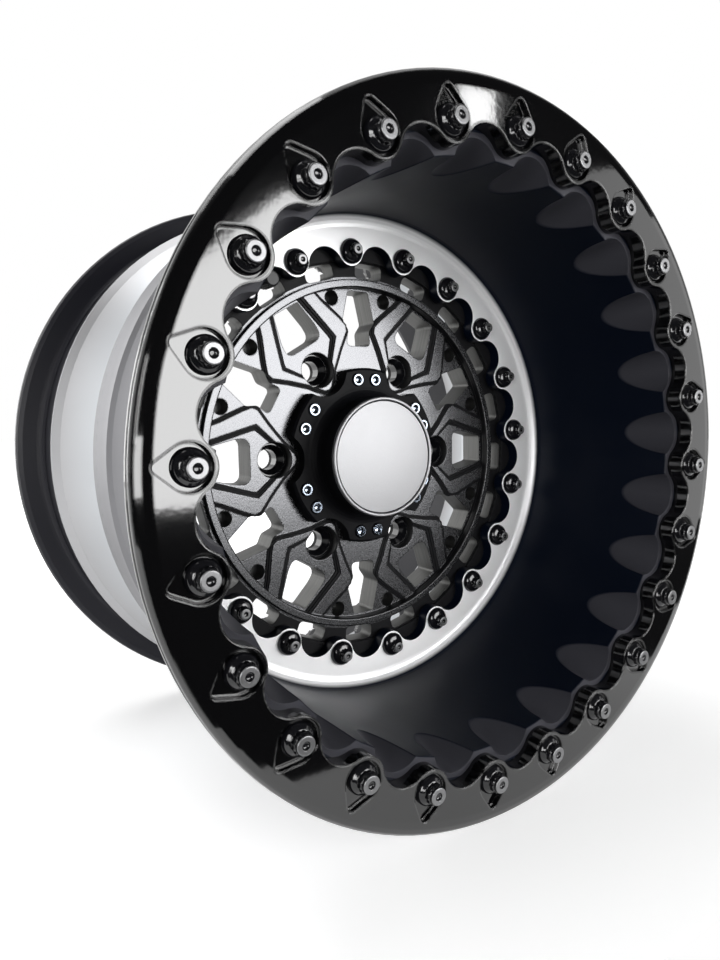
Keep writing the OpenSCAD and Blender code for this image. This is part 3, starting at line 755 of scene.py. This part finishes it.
class WheelOperator(bpy.types.Operator):
    """Options that the wheel's operators share"""
    bl_options = {"REGISTER", "UNDO"}


class WHEEL_OT_ring(WheelOperator):
    """Lacquer the scalloped beadlock ring"""
    bl_idname = "wheel.ring"
    bl_label = "Beadlock Ring"

    def execute(self, context):
        look = context.scene.wheel_ring
        wear("beadlock_ring", gloss_black("Ring Lacquer", look.paint, look.roughness,
                                          look.edge_radius, look.index))
        return {"FINISHED"}


class WHEEL_OT_barrels(WheelOperator):
    """Paint the dish and leave the flange face and the outside bare"""
    bl_idname = "wheel.barrels"
    bl_label = "Barrel Halves"

    def execute(self, context):
        look = context.scene.wheel_barrel
        wear("outer_barrel", outer_barrel_finish("Outer Barrel", look))
        wear("inner_barrel", inner_barrel_finish("Inner Barrel", look))
        wear("barrel_seal", rubber("Seal Rubber"))
        return {"FINISHED"}


class WHEEL_OT_centre(WheelOperator):
    """Finish the forged centre and its lug seats"""
    bl_idname = "wheel.centre"
    bl_label = "Forged Centre"

    def execute(self, context):
        wear("forged_centre", centre_finish("Centre Metal", context.scene.wheel_centre))
        wear("lug_seats", black_steel("Lug Cone Black", context.scene.wheel_fastener.black))
        return {"FINISHED"}


class WHEEL_OT_cap(WheelOperator):
    """Finish the lobed cap, its lid and its seal"""
    bl_idname = "wheel.cap"
    bl_label = "Hub Cap"

    def execute(self, context):
        look = context.scene.wheel_cap
        wear("cap_body", gloss_black("Cap Black", look.body, roughness=0.45, edge_radius=0.0004,
                                     index=1.15))
        wear("cap_lid", lid_finish("Lid Silver", look))
        wear("cap_lid_seal", rubber("Lid Seal Rubber"))
        return {"FINISHED"}


class WHEEL_OT_valve(WheelOperator):
    """Finish the valve and its small parts"""
    bl_idname = "wheel.valve"
    bl_label = "Valve"

    def execute(self, context):
        wear("valve_stem", black_steel("Stem Black", context.scene.wheel_fastener.black))
        wear("valve_cap", moulded_black("Valve Cap Plastic"))
        for node in ("valve_grommet", "valve_cap_seal"):
            wear(node, rubber(node.replace("_", " ").title()))
        for node in ("valve_washer", "valve_nut"):
            wear(node, plain_metal(node.replace("_", " ").title(), (0.5, 0.5, 0.52), (0.25, 0.4)))
        wear("valve_core", plain_metal("Core Brass", (0.66, 0.48, 0.2), (0.25, 0.38)))
        return {"FINISHED"}


class WHEEL_OT_ring_bolts(WheelOperator):
    """Set the detailed bolts into the ring's drop-shaped pockets"""
    bl_idname = "wheel.ring_bolts"
    bl_label = "Ring Bolts"

    def execute(self, context):
        look = context.scene.wheel_fastener
        bolt = bolt_mesh(look, RING_BOLT_REACH, RING_THREAD, nose=0.0049)
        black = black_steel("Ring Bolt Black", look.black, look.worn,
                            POCKET_FLOOR + look.head_height - WORN_DEPTH)
        round_the_wheel("ring_bolt_set", bolt, black, "bolt_black", "beadlock_bolts", 40,
                        Count=look.ring_count, Circle_Radius=RING_BOLT_AT,
                        Seat_Height=POCKET_FLOOR, First_Angle=math.radians(12),
                        Turn_of_Each=math.radians(11))
        return {"FINISHED"}


class WHEEL_OT_joint_bolts(WheelOperator):
    """Set the detailed bolts and nuts of the joint between the halves"""
    bl_idname = "wheel.joint_bolts"
    bl_label = "Joint Bolts and Nuts"

    def execute(self, context):
        look = context.scene.wheel_fastener
        black = black_steel("Joint Bolt Black", look.black, look.worn,
                            FLANGE_FACE + look.head_height - WORN_DEPTH)
        reach = FLANGE_FACE - INNER_BACK + JOINT_BOLT_REACH
        bolt = bolt_mesh(look, reach, JOINT_THREAD, nose=0.0036)
        shared = dict(Count=look.joint_count, Circle_Radius=JOINT_AT,
                      First_Angle=math.radians(6), Turn_of_Each=math.radians(7))
        round_the_wheel("joint_bolt_set", bolt, black, "bolt_black", "joint_bolts", 40,
                        Seat_Height=FLANGE_FACE, **shared)
        round_the_wheel("joint_nut_set", nut_mesh(look), black, "bolt_black", "joint_nuts", 40,
                        Seat_Height=INNER_BACK, **shared)
        return {"FINISHED"}


class WHEEL_OT_cap_screws(WheelOperator):
    """Set a pair of plated socket screws in each lobe of the cap"""
    bl_idname = "wheel.cap_screws"
    bl_label = "Cap Screws"

    def execute(self, context):
        steel = bright_steel("Plated Screw", context.scene.wheel_fastener.bright)
        round_the_wheel("cap_screw_set", screw_pair(), steel, "screw_steel", "cap_screws", 35,
                        Count=6, Circle_Radius=0.0, Seat_Height=SCREW_SEAT,
                        First_Angle=math.radians(30), Turn_of_Each=0.0)
        return {"FINISHED"}


class WHEEL_OT_stage(WheelOperator):
    """Make the pale floor, the soft lamps, the world and the camera"""
    bl_idname = "wheel.stage"
    bl_label = "Stage"

    def execute(self, context):
        look = context.scene.wheel_stage
        self.floor(look)
        self.world(look)
        self.panel("Window Light", (0.80, 0.21), (1.40, 0.82), look.key, corner=0.5, slope=1.373)
        self.panel("High Light", (1.30, 0.98), (0.15, 0.13), look.key * 1.3)
        for name, place, wide, tall, times in LAMPS:
            self.lamp(name, place, wide, tall, look.side * times)
        self.camera(look)
        context.scene.view_settings.view_transform = "Standard"
        return {"FINISHED"}

    def floor(self, look):
        """Pale floor that ends a little in front of the ring and keeps the wheel's shadow.

        To the eye it glows, up to white away from the wheel.
        """
        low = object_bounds()[0].z
        mesh = bpy.data.meshes.new("stage_floor")
        front, back = look.floor_front, FLOOR_BACK
        mesh.from_pydata([(-FLOOR_SIDE, front, low), (FLOOR_SIDE, front, low),
                          (FLOOR_SIDE, back, low), (-FLOOR_SIDE, back, low)],
                         [], [(0, 1, 2, 3)])
        mat = bpy.data.materials.new("Stage Floor")
        mat.use_nodes = True
        g = Graph(mat.node_tree)
        rays = g.add("ShaderNodeLightPath").outputs
        seen = rays["Is Camera Ray"]
        for kind in ("Is Glossy Ray", "Is Transmission Ray"):
            seen = g.math("MAXIMUM", seen, rays[kind])
        away = g.add("ShaderNodeVectorMath", g.add("ShaderNodeTexCoord").outputs["Object"],
                     operation="LENGTH")
        fade = g.ramp(away.outputs["Value"], GLOW_NEAR, GLOW_FAR, look.floor_glow, 1.0,
                      "SMOOTHSTEP")
        matt = g.add("ShaderNodeBsdfDiffuse", look.floor)
        glow = g.add("ShaderNodeEmission", (1.0, 1.0, 1.0), g.math("MULTIPLY", seen, fade))
        total = g.add("ShaderNodeAddShader", matt.outputs[0], glow.outputs[0])
        g.add("ShaderNodeOutputMaterial", total.outputs[0])
        mesh.materials.append(mat)
        link("stage_floor", mesh)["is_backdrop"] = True

    def world(self, look):
        """White where the camera looks and behind the wheel; a dim studio in front of it."""
        world = bpy.data.worlds.new("Studio")
        bpy.context.scene.world = world
        world.use_nodes = True
        g = Graph(world.node_tree)
        rays = g.add("ShaderNodeLightPath").outputs
        split = g.add("ShaderNodeSeparateXYZ", g.add("ShaderNodeTexCoord").outputs["Generated"])
        behind = g.ramp(split.outputs["Y"], WHITE_FROM, WHITE_TO, kind="SMOOTHSTEP")
        seen = g.math("MAXIMUM", rays["Is Glossy Ray"], rays["Is Transmission Ray"])
        white = g.math("MAXIMUM", rays["Is Camera Ray"], g.math("MULTIPLY", seen, behind))
        sky = g.add("ShaderNodeBackground", (1.0, 1.0, 1.0), g.value(white, look.fill, 1.0))
        g.add("ShaderNodeOutputWorld", sky.outputs[0])

    def lamp(self, name, place, wide, tall, radiance):
        """A soft rectangular lamp of the given radiance, turned to the wheel."""
        data = bpy.data.lights.new(name, "AREA")
        data.shape, data.size, data.size_y = "RECTANGLE", wide, tall
        data.energy = radiance * math.pi * wide * tall
        lit = link(name, data)
        lit.location = place
        lit.rotation_euler = (-Vector(place)).to_track_quat("-Z", "Y").to_euler()
        lit.visible_camera = False
        return lit

    def panel(self, name, middle, size, radiance, corner=1.0, slope=0.0):
        """An upright lamp in front of the wheel, whose upper left corner may be cut off."""
        lit = self.lamp(name, (middle[0], LAMP_WALL, middle[1]), *size, radiance)
        lit.rotation_euler = (math.radians(90), 0, 0)
        if corner < 1:
            lit.data.use_nodes = True
            g = Graph(lit.data.node_tree, clear=False)
            glow = next(node for node in g.nodes if node.type == "EMISSION")
            across, up, _ = g.add("ShaderNodeSeparateXYZ", g.add(
                "ShaderNodeNewGeometry").outputs["Parametric"]).outputs
            edge = g.math("MULTIPLY_ADD", across, -slope, up)
            g.feed(glow.inputs["Strength"], g.ramp(edge, corner - 0.01, corner + 0.01, 1.0, 0.0))

    def camera(self, look):
        """Looks along the direction solved from the bolt circles."""
        data = bpy.data.cameras.new("Camera")
        data.sensor_width, data.lens = 36.0, look.lens
        data.clip_start, data.clip_end = 0.01, 100.0
        cam = link("Camera", data)
        right, up = Vector(VIEW_RIGHT), Vector(VIEW_UP)
        back = right.cross(up)
        cam.matrix_world = Matrix.LocRotScale(
            Vector((VIEW_FROM[0], VIEW_FROM[1] - RING_FACE, VIEW_FROM[2])),
            Matrix((right, back.cross(right), back)).transposed().to_quaternion(), None)
        bpy.context.scene.camera = cam


class WHEEL_PT_panel(bpy.types.Panel):
    bl_label = "Beadlock Wheel"
    bl_idname = "WHEEL_PT_panel"
    bl_space_type = "VIEW_3D"
    bl_region_type = "UI"
    bl_category = "Wheel"

    def draw(self, context):
        for group, operators in PANEL_ROWS:
            box = self.layout.box()
            look = getattr(context.scene, group)
            for name in look.bl_rna.properties.keys():
                if name not in {"rna_type", "name"}:
                    box.prop(look, name)
            for operator in operators:
                box.operator(operator.bl_idname)


GROUPS = {
    "wheel_ring": RingLook, "wheel_barrel": BarrelLook, "wheel_centre": CentreLook,
    "wheel_cap": CapLook, "wheel_fastener": FastenerLook, "wheel_stage": StageLook,
}
PANEL_ROWS = (
    ("wheel_ring", (WHEEL_OT_ring,)),
    ("wheel_barrel", (WHEEL_OT_barrels,)),
    ("wheel_centre", (WHEEL_OT_centre,)),
    ("wheel_cap", (WHEEL_OT_cap,)),
    ("wheel_fastener", (WHEEL_OT_ring_bolts, WHEEL_OT_joint_bolts, WHEEL_OT_cap_screws,
                        WHEEL_OT_valve)),
    ("wheel_stage", (WHEEL_OT_stage,)),
)
OPERATORS = [operator for _, row in PANEL_ROWS for operator in row]


def register():
    for cls in (*GROUPS.values(), *OPERATORS, WHEEL_PT_panel):
        bpy.utils.register_class(cls)
    for name, cls in GROUPS.items():
        setattr(bpy.types.Scene, name, bpy.props.PointerProperty(type=cls))


def unregister():
    for name in GROUPS:
        delattr(bpy.types.Scene, name)
    for cls in (WHEEL_PT_panel, *reversed(OPERATORS), *reversed(list(GROUPS.values()))):
        bpy.utils.unregister_class(cls)


def main():
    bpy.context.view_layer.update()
    register()
    for operator in OPERATORS:
        group, name = operator.bl_idname.split(".")
        getattr(getattr(bpy.ops, group), name)()


if __name__ == "__main__":
    main()
